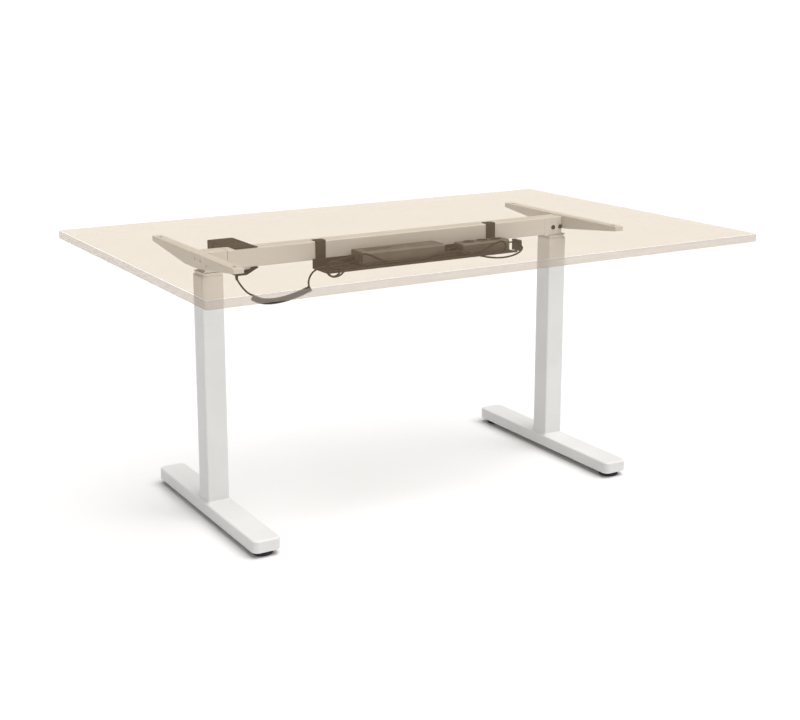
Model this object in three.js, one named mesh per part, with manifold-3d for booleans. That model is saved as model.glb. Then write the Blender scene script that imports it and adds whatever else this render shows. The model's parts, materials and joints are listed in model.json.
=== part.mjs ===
// Height-adjustable desk with two linear actuator legs.
// One gearmotor drives both through a shaft in the crossbeam.
// Millimetres, +Z up, +X along the crossbeam to the right, +Y towards the back. Drawn fully lowered.
import * as THREE from 'three';
import { mergeVertices } from 'three/addons/utils/BufferGeometryUtils.js';
import Module from 'manifold-3d';

const wasm = await Module();
wasm.setup();

// ---- driving dimensions ----
const gap = 0.3;                        // clearance between pieces that touch
const top = { length: 1560, depth: 1000, thickness: 22, underside: 717, corner: 5, band: 2 };
const frameOffset = { x: 45, y: 142 };  // frame centre, measured from the middle of the tabletop
const columnX = 550;                    // each column's distance from the frame centre
const foot = { width: 76, front: -328, back: 308, bottom: 14, top: 46, wall: 3, corner: 16, bevel: 5 };
const glide = { radius: 27, height: 10, neckRadius: 9, stemRadius: 5, stemTop: 36, inset: 34 };
const outerTube = { size: 60, wall: 1.8, corner: 4, top: 650 };
const innerTube = { size: 53, wall: 1.8, corner: 3, bottom: 60, top: 659 };
const bush = { outer: 56, inner: 53.6, bottom: 600, rim: 59, rimHeight: 2.7 };
const pad = { outer: 56, inner: 53.4, height: 36 };
const post = { radius: 12, bore: 8, flange: 24, flangeHeight: 5, top: 569.7 };
const nut = { radius: 17, bore: 6.3, bottom: 570, top: 604 };
const spindle = { radius: 6, journal: 4, bottom: 70, shoulder: 662 };
const head = { inner: 505, outer: 568.7, halfDepth: 25, bottom: 659.3, top: 714, wall: 3.5 };
const shaft = { radius: 5, journal: 4, z: 689, end: 541 };
const gear = { teeth: 14, backRadius: 13.2, frontRadius: 7.2, length: 6, hub: 3, tooth: 1.6 };
const bearing = { radius: 15, bore: 4.3, bottom: 664.3, top: 671.5 };
const beam = { halfLength: 504.6, half: 25, wall: 2, corner: 3, bottom: 664, top: 714 };
const arm = { inner: 569, outer: 597, half: 268, wall: 2.5, deep: 679, shallow: 704, flat: 40, top: 716.7 };
const motorX = -457;
const worm = { radius: 6.5, root: 5.2, z: 671, front: -9, back: 52 };
const gearbox = { half: 20, front: -15, back: 58, bottom: 657, top: 703 };
const can = { radius: 21, back: 124 };
const cover = {
  left: -494, right: -420, top: 716.4, bottom: 645, sheet: 1.6, front: -25, back: 134,
  leftSide: 655, leftChamfer: 9, rightSide: 662, rightChamfer: 34,
};
const tray = {
  left: -264, right: 342, back: -29, front: -116, floor: 642.6, sheet: 1.6, backTop: 668, lip: 649,
};
const strap = { width: 30, sheet: 2, reach: 22, bottom: 645, screwHeight: 677, centres: [-238, 311] };
const controlBox = { left: -148, right: 110, front: -96, back: -32, bottom: 645, top: 685, chamfer: 5 };
const powerStrip = { left: 178, right: 340, front: -82, back: -34, bottom: 645, top: 675, chamfer: 4 };
const plug = { left: 372, right: 386, front: -78, back: -46, bottom: 636, top: 668 };
const headBolts = { places: [536, 561], below: 5, capRadius: 6.5 };
const lead = { coil: 17, wire: 4.6 };   // the curly lead: outer diameter of its coil, thickness of its wire
const flex = 5;                         // thickness of the mains lead and the control box's lead
const foldRadius = 15.3;
const roundLoop = { x: -252, y: -122, z: 657, radius: 20, pitch: 6.6, turns: 1.5 };

// ---- finishes ----
const finishes = {
  paint: { color: 0xe3e2de, roughness: 0.45, metalness: 0.1 },
  darkPaint: { color: 0x2c2620, roughness: 0.55, metalness: 0.2 },
  steel: { color: 0xa8abb0, roughness: 0.3, metalness: 0.9 },
  brass: { color: 0xb9974f, roughness: 0.35, metalness: 0.9 },
  blackPlastic: { color: 0x1e1c1b, roughness: 0.6, metalness: 0 },
  darkPlastic: { color: 0x35302b, roughness: 0.55, metalness: 0 },
  whitePlastic: { color: 0xdcdad4, roughness: 0.5, metalness: 0 },
  wood: { color: 0xdaae7c, roughness: 0.55, metalness: 0, transparent: true, opacity: 0.3 },
  woodEdge: { color: 0xc9b199, roughness: 0.6, metalness: 0, transparent: true, opacity: 0.45 },
};

const desk = new THREE.Group();
const frame = new THREE.Group();
frame.position.set(frameOffset.x, frameOffset.y, 0);
desk.add(frame);

function place(parent, name, shape, finish) {
  const geometry = shape instanceof wasm.Manifold ? toGeometry(shape) : shape;
  const mesh = new THREE.Mesh(geometry, new THREE.MeshStandardMaterial(finishes[finish]));
  mesh.name = name;
  parent.add(mesh);
}

// ---- shape helpers ----
function toSolid(geometry) {
  const bare = new THREE.BufferGeometry();
  bare.setAttribute('position', geometry.getAttribute('position').clone());
  if (geometry.index) bare.setIndex(geometry.index.clone());
  const merged = mergeVertices(bare, 1e-4);
  const vertProperties = new Float32Array(merged.getAttribute('position').array);
  const triVerts = new Uint32Array(merged.index.array);
  return new wasm.Manifold(new wasm.Mesh({ numProp: 3, vertProperties, triVerts }));
}

function toGeometry(solid) {
  const mesh = solid.getMesh();
  const geometry = new THREE.BufferGeometry();
  geometry.setAttribute('position', new THREE.BufferAttribute(new Float32Array(mesh.vertProperties), 3));
  geometry.setIndex(new THREE.BufferAttribute(new Uint32Array(mesh.triVerts), 1));
  return geometry;
}

function block(x0, x1, y0, y1, z0, z1) {
  const geometry = new THREE.BoxGeometry(x1 - x0, y1 - y0, z1 - z0);
  geometry.translate((x0 + x1) / 2, (y0 + y1) / 2, (z0 + z1) / 2);
  return toSolid(geometry);
}

function roundedRectangle(width, depth, radius) {
  const x = width / 2;
  const y = depth / 2;
  const shape = new THREE.Shape();
  shape.moveTo(-x + radius, -y);
  shape.lineTo(x - radius, -y);
  shape.absarc(x - radius, -y + radius, radius, -Math.PI / 2, 0);
  shape.lineTo(x, y - radius);
  shape.absarc(x - radius, y - radius, radius, 0, Math.PI / 2);
  shape.lineTo(-x + radius, y);
  shape.absarc(-x + radius, y - radius, radius, Math.PI / 2, Math.PI);
  shape.lineTo(-x, -y + radius);
  shape.absarc(-x + radius, -y + radius, radius, Math.PI, 1.5 * Math.PI);
  return shape;
}

function prism(shape, z0, z1, segments = 4) {
  const options = { depth: z1 - z0, bevelEnabled: false, curveSegments: segments };
  const geometry = new THREE.ExtrudeGeometry(shape, options);
  geometry.translate(0, 0, z0);
  return geometry;
}

function squareTube(outer, inner, radius, z0, z1) {
  const shape = roundedRectangle(outer, outer, radius);
  shape.holes.push(roundedRectangle(inner, inner, Math.max(radius - (outer - inner) / 2, 0.6)));
  return prism(shape, z0, z1);
}

function polygon(points) {
  return new THREE.Shape(points.map(([u, v]) => new THREE.Vector2(u, v)));
}

// A profile drawn in Y and Z, pushed along X.
function prismAlongX(shape, x0, x1) {
  const geometry = prism(shape, x0, x1);
  geometry.applyMatrix4(new THREE.Matrix4().set(0, 0, 1, 0, 1, 0, 0, 0, 0, 1, 0, 0, 0, 0, 0, 1));
  return geometry;
}

// A profile drawn in X and Z, pushed along Y.
function prismAlongY(shape, y0, y1) {
  const geometry = prism(shape, -y1, -y0);
  geometry.rotateX(Math.PI / 2);
  return geometry;
}

// A solid of revolution about +Z from [radius, height] points, going round the closed section.
function turned(points, sides = 24) {
  const section = [...points, points[0]].map(([r, z]) => new THREE.Vector2(r, z));
  return toSolid(new THREE.LatheGeometry(section, sides).rotateX(Math.PI / 2));
}

function cylinder(radius, z0, z1, sides = 24) {
  const geometry = new THREE.CylinderGeometry(radius, radius, z1 - z0, sides);
  geometry.rotateX(Math.PI / 2);
  geometry.translate(0, 0, (z0 + z1) / 2);
  return toSolid(geometry);
}

function cylinderAlongX(radius, x0, x1, y, z, sides = 24) {
  return cylinder(radius, x0, x1, sides).rotate([0, 90, 0]).translate([0, y, z]);
}

function cylinderAlongY(radius, y0, y1, x, z, sides = 24) {
  return cylinder(radius, -y1, -y0, sides).rotate([90, 0, 0]).translate([x, 0, z]);
}

// A toothed body on +Z: layers are [height, tip radius, root radius].
function toothed(layers, teeth) {
  const ring = teeth * 4;
  const positions = [];
  for (const [z, tip, root] of layers) {
    for (let i = 0; i < ring; i += 1) {
      const angle = (i / ring) * 2 * Math.PI;
      const radius = i % 4 < 2 ? tip : root;
      positions.push(radius * Math.cos(angle), radius * Math.sin(angle), z);
    }
  }
  positions.push(0, 0, layers[0][0], 0, 0, layers[layers.length - 1][0]);
  const low = layers.length * ring;
  const index = [];
  for (let i = 0; i < ring; i += 1) {
    const next = (i + 1) % ring;
    for (let layer = 0; layer < layers.length - 1; layer += 1) {
      const a = layer * ring;
      const b = a + ring;
      index.push(a + i, a + next, b + next, a + i, b + next, b + i);
    }
    const last = (layers.length - 1) * ring;
    index.push(low, next, i, low + 1, last + i, last + next);
  }
  const geometry = new THREE.BufferGeometry();
  geometry.setAttribute('position', new THREE.Float32BufferAttribute(positions, 3));
  geometry.setIndex(index);
  return toSolid(geometry);
}

// A round tube along a smooth line through the points.
function tubeAlong(points, diameter, steps, sides) {
  const path = new THREE.CatmullRomCurve3(points.map((p) => new THREE.Vector3(...p)));
  path.arcLengthDivisions = steps * 5;
  const section = new THREE.Shape();
  for (let i = 0; i < sides; i += 1) {
    const angle = (i / sides) * 2 * Math.PI;
    const x = (diameter / 2) * Math.cos(angle);
    const y = (diameter / 2) * Math.sin(angle);
    if (i === 0) section.moveTo(x, y);
    else section.lineTo(x, y);
  }
  return new THREE.ExtrudeGeometry(section, { steps, extrudePath: path, bevelEnabled: false });
}

// ---- tabletop ----
function tabletop() {
  const inset = 2 * (top.band + gap);
  const z1 = top.underside + top.thickness;
  const board = roundedRectangle(top.length - inset, top.depth - inset, top.corner - top.band);
  place(desk, 'tabletop', prism(board, top.underside, z1), 'wood');
  const band = roundedRectangle(top.length, top.depth, top.corner);
  const inside = inset - 2 * gap;
  band.holes.push(roundedRectangle(top.length - inside, top.depth - inside, top.corner - top.band + gap));
  place(desk, 'edge_band', prism(band, top.underside, z1), 'woodEdge');
}

// ---- feet ----
function footShape() {
  const length = foot.back - foot.front;
  const margin = 2 * foot.bevel;
  const shape = roundedRectangle(foot.width - margin, length - margin, foot.corner - foot.bevel);
  const options = {
    depth: foot.top - foot.bottom - 2 * foot.bevel,
    bevelThickness: foot.bevel,
    bevelSize: foot.bevel,
    bevelSegments: 3,
    curveSegments: 4,
  };
  const skin = new THREE.ExtrudeGeometry(shape, options).translate(0, 0, foot.bottom + foot.bevel);
  const shell = toSolid(skin);
  const walls = 4 * foot.wall;
  const inside = roundedRectangle(foot.width - walls, length - walls, foot.corner - 2 * foot.wall);
  let body = shell.subtract(toSolid(prism(inside, foot.bottom - 1, foot.top - foot.wall)));
  for (const end of [-1, 1]) {
    const y = end * (length / 2 - glide.inset);
    const boss = cylinder(glide.stemRadius + 6, foot.bottom, foot.top - foot.wall + 1);
    const hole = cylinder(glide.stemRadius + gap, foot.bottom - 1, glide.stemTop + 1);
    body = body.add(boss.translate([0, y, 0])).subtract(hole.translate([0, y, 0]));
  }
  return body.translate([0, (foot.back + foot.front) / 2, 0]);
}

function glideShape() {
  return turned([
    [0, 0], [glide.radius - 3, 0], [glide.radius, 3], [glide.radius, glide.height - 3],
    [glide.radius - 4, glide.height], [glide.neckRadius, glide.height],
    [glide.neckRadius, foot.bottom - gap],
    [glide.stemRadius, foot.bottom - gap], [glide.stemRadius, glide.stemTop], [0, glide.stemTop],
  ]);
}

// ---- lifting column ----
function bushShape() {
  const sleeve = toSolid(squareTube(bush.outer, bush.inner, 2.6, bush.bottom, outerTube.top + gap + 1));
  const rimBottom = outerTube.top + gap;
  const rim = toSolid(squareTube(bush.rim, bush.inner, 3.8, rimBottom, rimBottom + bush.rimHeight));
  return sleeve.add(rim);
}

function postShape() {
  const bottom = foot.top + gap;
  const flangeTop = bottom + post.flangeHeight;
  return turned([
    [0, bottom], [post.flange, bottom], [post.flange, flangeTop], [post.radius, flangeTop],
    [post.radius, post.top], [post.bore, post.top], [post.bore, flangeTop], [0, flangeTop],
  ], 16);
}

function nutShape() {
  const flange = nut.bottom + 8;
  return turned([
    [nut.bore, nut.bottom], [nut.radius, nut.bottom], [nut.radius, flange], [nut.radius - 4, flange],
    [nut.radius - 4, nut.top], [nut.bore, nut.top],
  ], 16);
}

function spindleShape() {
  const journalTop = shaft.z - gear.frontRadius - gap;
  return turned([
    [0, spindle.bottom], [spindle.radius - 1, spindle.bottom], [spindle.radius, spindle.bottom + 1],
    [spindle.radius, spindle.shoulder], [spindle.journal, spindle.shoulder], [spindle.journal, journalTop],
    [0, journalTop],
  ], 16);
}

// A bevel gear on +Z whose pitch cone closes at height 0; its teeth stop short of its partner's.
function bevelGear() {
  const back = -gear.frontRadius - gear.length - 0.8;
  const front = back + gear.length;
  const layers = [
    [back - gear.hub, gear.backRadius, gear.backRadius - gear.tooth],
    [back, gear.backRadius, gear.backRadius - gear.tooth],
    [front, gear.frontRadius, gear.frontRadius - 0.8],
  ];
  return toothed(layers, gear.teeth).subtract(cylinder(shaft.journal + 0.15, back - 9, front + 1, 16));
}

function bearingShape() {
  return turned([
    [bearing.bore, bearing.bottom], [bearing.radius, bearing.bottom], [bearing.radius, bearing.top],
    [bearing.bore, bearing.top],
  ]);
}

// ---- column head: the casting that joins inner tube, crossbeam and support arm ----
function headShape(side) {
  const span = (a, b) => [Math.min(side * a, side * b), Math.max(side * a, side * b)];
  const half = head.halfDepth;
  const inside = half - head.wall;
  const collar = innerTube.size / 2 + 2;
  let body = block(...span(head.inner, head.outer), -half, half, head.bottom, head.top);
  const flange = span(columnX - collar, columnX + collar);
  body = body.add(block(...flange, -half - 3.5, half, head.bottom, head.bottom + 4));
  const tabBottom = outerTube.top + bush.rimHeight + 2 * gap;
  const tab = span(columnX - collar, columnX + collar - 6);
  body = body.add(block(...tab, -half - 3.5, -half - 2, tabBottom, 664));
  const cavity = span(head.inner + head.wall, head.outer - head.wall);
  body = body.subtract(block(...cavity, -inside, inside, head.bottom + 4.7, head.top - head.wall));
  const shaftHole = span(head.inner - 1, head.inner + 9);
  body = body.subtract(cylinderAlongX(shaft.radius + 0.7, ...shaftHole, 0, shaft.z, 16));
  body = body.subtract(cylinder(spindle.radius + 1, 650, 668, 16).translate([side * columnX, 0, 0]));
  for (const x of headBolts.places) {
    const z = shaft.z - headBolts.below;
    body = body.subtract(cylinderAlongY(3.2, -half - 1, -half + head.wall + 1, side * x, z, 12));
  }
  return body;
}

function headBolt(side, x) {
  const face = -head.halfDepth - gap;
  const z = shaft.z - headBolts.below;
  const capBody = cylinderAlongY(headBolts.capRadius, face - 3, face, side * x, z);
  const shank = cylinderAlongY(3, face - 1, face + 5, side * x, z, 12);
  const socket = cylinderAlongY(3, face - 4, face - 1.2, side * x, z, 6);
  return capBody.add(shank).subtract(socket);
}

function armShape(side) {
  const profile = (inset, cut) => polygon([
    [-arm.half + inset, arm.top - inset], [-arm.half + inset, arm.shallow - cut],
    [-arm.flat, arm.deep - cut],
    [arm.flat, arm.deep - cut], [arm.half - inset, arm.shallow - cut], [arm.half - inset, arm.top - inset],
  ]);
  const sorted = (a, b) => [Math.min(side * a, side * b), Math.max(side * a, side * b)];
  const outside = toSolid(prismAlongX(profile(0, 0), ...sorted(arm.inner, arm.outer)));
  const insideWidth = sorted(arm.inner + arm.wall, arm.outer - arm.wall);
  const inside = toSolid(prismAlongX(profile(arm.wall, 1), ...insideWidth));
  return outside.subtract(inside);
}

// ---- crossbeam with the drive inside it ----
function beamShape() {
  const middle = (beam.bottom + beam.top) / 2;
  const section = roundedRectangle(2 * beam.half, 2 * beam.half, beam.corner);
  const hollow = 2 * (beam.half - beam.wall);
  section.holes.push(roundedRectangle(hollow, hollow, beam.corner - beam.wall));
  const tube = toSolid(prismAlongX(section, -beam.halfLength, beam.halfLength)).translate([0, 0, middle]);
  const clear = gearbox.half + 4;
  const window = [motorX - clear, motorX + clear, gearbox.front - 2, beam.half + 1, 655, gearbox.top + 3];
  return tube.subtract(block(...window));
}

function driveShaftShape() {
  const shoulder = columnX - gear.frontRadius - gear.length - gear.hub - 1.4;
  const middle = cylinderAlongX(shaft.radius, -shoulder, shoulder, 0, shaft.z, 16);
  return middle.add(cylinderAlongX(shaft.journal, -shaft.end, shaft.end, 0, shaft.z, 16));
}

function gearboxShape() {
  const { half, front, back, bottom, top: lid } = gearbox;
  let body = block(motorX - half, motorX + half, front, back, bottom, lid);
  body = body.subtract(cylinderAlongX(12.6, motorX - 6, motorX + 6, 0, shaft.z, 24));
  body = body.subtract(cylinderAlongX(shaft.radius + 0.6, motorX - 30, motorX + 30, 0, shaft.z, 16));
  return body.subtract(cylinderAlongY(worm.radius + 1, front + 4, back + 1, motorX, worm.z));
}

function wormShape() {
  const rings = 5;
  const pitch = 3.6;
  const points = [[0, 0], [worm.root, 0]];
  for (let i = 0; i < rings; i += 1) {
    const z = 1.5 + i * pitch;
    points.push([worm.root, z], [worm.radius, z + 0.7], [worm.radius, z + 1.5], [worm.root, z + 2.2]);
  }
  const length = worm.back - worm.front;
  points.push([worm.root, 20.5], [3, 21.5], [3, length + 18], [0, length + 18]);
  return turned(points, 16).rotate([-90, 0, 0]).translate([motorX, worm.front, worm.z]);
}

function motorShape() {
  const start = gearbox.back + gap;
  const length = can.back - start;
  const body = turned([
    [3.4, 0], [can.radius - 4, 0], [can.radius - 4, 3], [can.radius, 3], [can.radius, length - 7],
    [can.radius - 3, length - 2.5], [can.radius - 8, length - 1],
    [9, length - 1], [8, length + 2], [0, length + 2],
    [0, 20], [3.4, 20],
  ]);
  return body.rotate([-90, 0, 0]).translate([motorX, start, worm.z]);
}

function coverShape() {
  const { leftSide, leftChamfer, rightSide, rightChamfer } = cover;
  const outline = (inset) => polygon([
    [cover.left + inset, cover.top - inset], [cover.left + inset, leftSide + inset / 2],
    [cover.left + leftChamfer + inset / 2, cover.bottom + inset],
    [cover.right - rightChamfer, cover.bottom + inset],
    [cover.right - inset, rightSide + inset / 2], [cover.right - inset, cover.top - inset],
  ]);
  const outside = toSolid(prismAlongY(outline(0), cover.front - 3, cover.back));
  const inside = toSolid(prismAlongY(outline(cover.sheet), cover.front - 10, cover.back - cover.sheet));
  let body = outside.subtract(inside);
  const beamTop = beam.top + gap;
  const beamBottom = beam.bottom - gap;
  body = body.subtract(block(cover.left - 5, cover.right + 5, -60, beam.half + gap, beamBottom, beamTop));
  body = body.subtract(block(cover.left - 5, cover.left + 10, -60, 21, beamTop - 1, cover.top + 1));
  const wide = [cover.left - 5, cover.right + 5];
  return body.subtract(block(...wide, -60, cover.front, beamTop - 1, cover.top + 1));
}

// ---- cable tray and what lies in it ----
function trayShape() {
  const floor = block(tray.left, tray.right, tray.front, tray.back, tray.floor, tray.floor + tray.sheet);
  const back = block(tray.left, tray.right, tray.back - tray.sheet, tray.back, tray.floor, tray.backTop);
  const lip = block(tray.left, tray.right, tray.front, tray.front + tray.sheet, tray.floor, tray.lip);
  return floor.add(back).add(lip);
}

function strapShape(centre) {
  const x0 = centre - strap.width / 2;
  const x1 = centre + strap.width / 2;
  const face = -beam.half - gap;
  const hookBottom = beam.top + gap;
  const hookTop = hookBottom + strap.sheet;
  const hook = block(x0, x1, face - strap.sheet, face + strap.reach, hookBottom, hookTop);
  const drop = block(x0, x1, face - strap.sheet, face, strap.bottom, hookTop);
  return hook.add(drop).subtract(cylinderAlongY(2.6, face - 9, face + 1, centre, strap.screwHeight, 12));
}

function strapScrew(centre) {
  const face = -beam.half - gap - strap.sheet - gap;
  const screwHead = cylinderAlongY(4.5, face - 2.2, face, centre, strap.screwHeight);
  return screwHead.add(cylinderAlongY(2.2, face - 1, face + 2, centre, strap.screwHeight, 12));
}

function controlBoxShape() {
  const b = controlBox;
  const profile = polygon([
    [b.front + 2, b.bottom], [b.back, b.bottom], [b.back, b.top], [b.front + b.chamfer, b.top],
    [b.front, b.top - b.chamfer],
  ]);
  return prismAlongX(profile, b.left, b.right);
}

function powerStripShape() {
  const b = powerStrip;
  const profile = polygon([
    [b.front, b.bottom], [b.back, b.bottom], [b.back, b.top - b.chamfer], [b.back - b.chamfer, b.top],
    [b.front + b.chamfer, b.top], [b.front, b.top - b.chamfer],
  ]);
  return prismAlongX(profile, b.left, b.right);
}

// The round loop of the mains lead at the tray's left end, from its top, round and out at the bottom.
function roundLoopPoints() {
  const points = [];
  const count = 16 * roundLoop.turns;
  for (let i = 0; i <= count; i += 1) {
    const angle = Math.PI / 2 + (i / count) * roundLoop.turns * 2 * Math.PI;
    const x = roundLoop.x + roundLoop.radius * Math.cos(angle);
    const z = roundLoop.z + roundLoop.radius * Math.sin(angle);
    points.push([x, roundLoop.y - (i / count) * roundLoop.turns * roundLoop.pitch, z]);
  }
  return points;
}

// Where the mains lead turns back on itself: from the bottom, round the outer side and out at the top.
function foldPoints(x, z, side, yBelow, yAbove) {
  return [0, 1, 2, 3, 4, 5, 6].map((i) => {
    const angle = (i / 6) * Math.PI;
    const y = yBelow + (yAbove - yBelow) * (i / 6);
    return [x + side * foldRadius * Math.sin(angle), y, z - foldRadius * Math.cos(angle)];
  });
}

// Cord routes are hand-chosen points in the frame's own coordinates.
const cordRoutes = {
  motor_lead_upper: { diameter: lead.wire, steps: 14, sides: 8, points: [
    [-478, -16, 644.6], [-478, -16.6, 640], [-476.6, -20.5, 631], [-470.5, -30, 617],
    [-463, -41, 605], [-456, -50, 598],
  ] },
  motor_lead_coil: { diameter: lead.coil, steps: 16, sides: 12, points: [
    [-455, -60, 592], [-432, -60, 580.5], [-402, -60, 575.5], [-363, -60, 577.5],
    [-322, -60, 586], [-287, -60, 597],
  ] },
  motor_lead_lower: { diameter: lead.wire, steps: 36, sides: 8, points: [
    [-291, -57, 609], [-291, -57.4, 616], [-288, -58.5, 627], [-280, -60, 639], [-269, -61.6, 646.6],
    [-254, -62.8, 649.6], [-235, -63.5, 649.6], [-200, -64, 650.4], [-170, -64, 653.6], [-158, -64, 655],
    [-148.4, -64, 655],
  ] },
  box_lead: { diameter: flex, steps: 90, sides: 6, points: [
    [-148.4, -46, 664], [-168, -46, 664], [-195, -46.4, 661.5], [-215, -49, 659], [-232.7, -56.3, 656],
    [-240, -74, 653], [-232.7, -91.7, 650], [-215, -98.6, 648], [-180, -99, 647.4], [0, -99, 647.4],
    [60, -99, 647.4], [95, -99, 647.4], [113, -98.7, 647.4], [132, -93, 648], [148, -82, 650],
    [160, -73, 652], [169, -68.4, 653], [177.6, -67, 653],
  ] },
  mains_lead: { diameter: flex, steps: 430, sides: 6, points: [
    [177.6, -48, 660], [165, -48.6, 660], [151, -54, 659.5], [140, -66, 658.5], [132, -80, 657],
    [124.5, -92.5, 655.3], [111, -99.8, 653.6], [95, -102.6, 651.3], [80, -104, 649.1], [62, -104.6, 647.6],
    [40, -104.6, 647.4], [-60, -104.6, 647.4], [-150, -104.7, 647.4], [-172, -106, 649.5],
    [-190, -109.5, 655], [-208, -113.5, 662], [-228, -118.5, 671],
    ...roundLoopPoints(),
    [-236, -131, 640], [-222, -126, 647], [-208, -120.5, 652.8], [-194, -115.5, 654.5], [-178, -112, 652.3],
    [-162, -110.5, 648.2], [-145, -110.2, 647.4], [0, -110.2, 647.4], [120, -110.2, 647.4],
    [230, -110.2, 647.4], [270, -110.2, 647.4],
    ...foldPoints(290, 662.7, 1, -110.2, -109.3),
    [270, -109, 673.5], [248, -108.6, 665],
    [225, -108.3, 657], [200, -108.2, 653.2], [175, -108.2, 652.4], [0, -108.2, 652.4],
    [-110, -108.2, 652.4], [-135, -108.2, 652.4],
    ...foldPoints(-150, 667.7, -1, -107.8, -103.2),
    [-134, -102.2, 679.5], [-112, -101.8, 669],
    [-90, -101.8, 659], [-70, -101.8, 654], [-48, -101.8, 652.5], [0, -101.8, 652.4], [20, -101.8, 652.4],
    [45, -101.8, 653.2], [70, -102.5, 656.5], [95, -104.5, 660.5], [120, -107.5, 663], [145, -111, 663],
    [170, -116, 659], [192, -120.2, 652], [215, -121, 645], [245, -121, 638], [275, -121, 634],
    [305, -121, 634], [332, -120, 638], [351, -115, 643], [365, -105.5, 647.5], [374, -94, 650.5],
    [378.4, -84, 652], [379, -78.4, 652],
  ] },
  socket_lead: { diameter: 4.5, steps: 8, sides: 8, points: [
    [340.3, -60, 661], [350, -60, 661], [362, -60, 661.5], [371.7, -60, 661.5],
  ] },
};

function cords() {
  for (const [name, { points, diameter, steps, sides }] of Object.entries(cordRoutes)) {
    place(frame, name, tubeAlong(points, diameter, steps, sides), 'blackPlastic');
  }
  const { left, right, front, back, bottom, top: plugTop } = plug;
  place(frame, 'mains_plug', block(left, right, front, back, bottom, plugTop), 'blackPlastic');
}

// ---- assembly ----
tabletop();
place(frame, 'crossbeam', beamShape(), 'paint');
place(frame, 'drive_shaft', driveShaftShape(), 'steel');
place(frame, 'worm_gearbox', gearboxShape(), 'steel');
place(frame, 'worm_wheel', toothed([[-5, 11, 9.8], [5, 11, 9.8]], 20).subtract(cylinder(5.15, -6, 6, 16))
  .rotate([0, 90, 0]).translate([motorX, 0, shaft.z]), 'brass');
place(frame, 'motor_worm', wormShape(), 'steel');
place(frame, 'motor_can', motorShape(), 'darkPaint');
place(frame, 'motor_cover', coverShape(), 'darkPaint');
place(frame, 'cable_tray', trayShape(), 'darkPaint');
place(frame, 'control_box', controlBoxShape(), 'darkPlastic');
place(frame, 'power_strip', powerStripShape(), 'darkPlastic');
strap.centres.forEach((centre, i) => {
  const sideName = ['left', 'right'][i];
  place(frame, `${sideName}_tray_strap`, strapShape(centre), 'darkPaint');
  place(frame, `${sideName}_strap_screw`, strapScrew(centre), 'steel');
});
cords();

for (const [sideName, side] of [['left', -1], ['right', 1]]) {
  const column = new THREE.Group();
  column.position.x = side * columnX;
  frame.add(column);
  place(column, `${sideName}_foot`, footShape(), 'paint');
  for (const [endName, y] of [['front', foot.front + glide.inset], ['back', foot.back - glide.inset]]) {
    const spot = new THREE.Group();
    spot.position.y = y;
    column.add(spot);
    place(spot, `${sideName}_${endName}_glide`, glideShape(), 'blackPlastic');
  }
  const t = outerTube;
  const n = innerTube;
  const outer = squareTube(t.size, t.size - 2 * t.wall, t.corner, foot.top + gap, t.top);
  place(column, `${sideName}_outer_tube`, outer, 'paint');
  const inner = squareTube(n.size, n.size - 2 * n.wall, n.corner, n.bottom, n.top);
  place(column, `${sideName}_inner_tube`, inner, 'paint');
  place(column, `${sideName}_guide_bush`, bushShape(), 'whitePlastic');
  const slidePad = squareTube(pad.outer, pad.inner, 2.6, n.bottom, n.bottom + pad.height);
  place(column, `${sideName}_slide_pad`, slidePad, 'whitePlastic');
  place(column, `${sideName}_nut_post`, postShape(), 'steel');
  place(column, `${sideName}_spindle_nut`, nutShape(), 'whitePlastic');
  place(column, `${sideName}_spindle`, spindleShape(), 'steel');
  place(column, `${sideName}_spindle_gear`, bevelGear().translate([0, 0, shaft.z]), 'brass');
  place(column, `${sideName}_spindle_bearing`, bearingShape(), 'steel');
  const shaftGear = bevelGear().rotate([0, side * 90, 0]).translate([0, 0, shaft.z]);
  place(column, `${sideName}_shaft_gear`, shaftGear, 'brass');
  place(frame, `${sideName}_head`, headShape(side), 'paint');
  place(frame, `${sideName}_arm`, armShape(side), 'paint');
  headBolts.places.forEach((x, i) => {
    place(frame, `${sideName}_head_bolt_${i + 1}`, headBolt(side, x), 'blackPlastic');
  });
}

export default desk;
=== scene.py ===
"""Looks for a height-adjustable desk that stands on two linear actuator legs.

Everything is in metres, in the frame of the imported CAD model: +Z up, +X along the crossbeam,
+Y to the back.
Local points are millimetres from the middle of the steel frame, and at() turns them into scene metres.
"""
import json
import math

import bmesh
import bpy
from mathutils import Matrix, Vector


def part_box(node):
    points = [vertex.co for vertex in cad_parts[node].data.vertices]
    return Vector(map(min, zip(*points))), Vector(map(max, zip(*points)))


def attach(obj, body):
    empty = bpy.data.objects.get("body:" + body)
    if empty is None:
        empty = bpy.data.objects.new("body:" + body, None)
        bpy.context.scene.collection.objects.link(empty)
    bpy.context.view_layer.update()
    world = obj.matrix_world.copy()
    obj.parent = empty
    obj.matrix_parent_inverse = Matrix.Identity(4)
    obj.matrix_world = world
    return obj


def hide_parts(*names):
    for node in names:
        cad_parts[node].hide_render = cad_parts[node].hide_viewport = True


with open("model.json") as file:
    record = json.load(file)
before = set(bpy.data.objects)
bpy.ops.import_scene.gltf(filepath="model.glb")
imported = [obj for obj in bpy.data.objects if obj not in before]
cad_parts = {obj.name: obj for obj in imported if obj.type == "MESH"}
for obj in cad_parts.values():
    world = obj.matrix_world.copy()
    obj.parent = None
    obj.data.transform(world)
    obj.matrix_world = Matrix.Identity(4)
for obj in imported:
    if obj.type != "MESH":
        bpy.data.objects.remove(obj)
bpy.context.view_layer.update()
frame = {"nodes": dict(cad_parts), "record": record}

nodes = frame["nodes"]
beam_low, beam_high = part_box("crossbeam")
ORIGIN = Vector(((beam_low.x + beam_high.x) / 2, (beam_low.y + beam_high.y) / 2, 0))
MM = 0.001


def at(x, y, z):
    """A frame-local point in millimetres, as a scene point in metres."""
    return ORIGIN + Vector((x, y, z)) * MM


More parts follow.
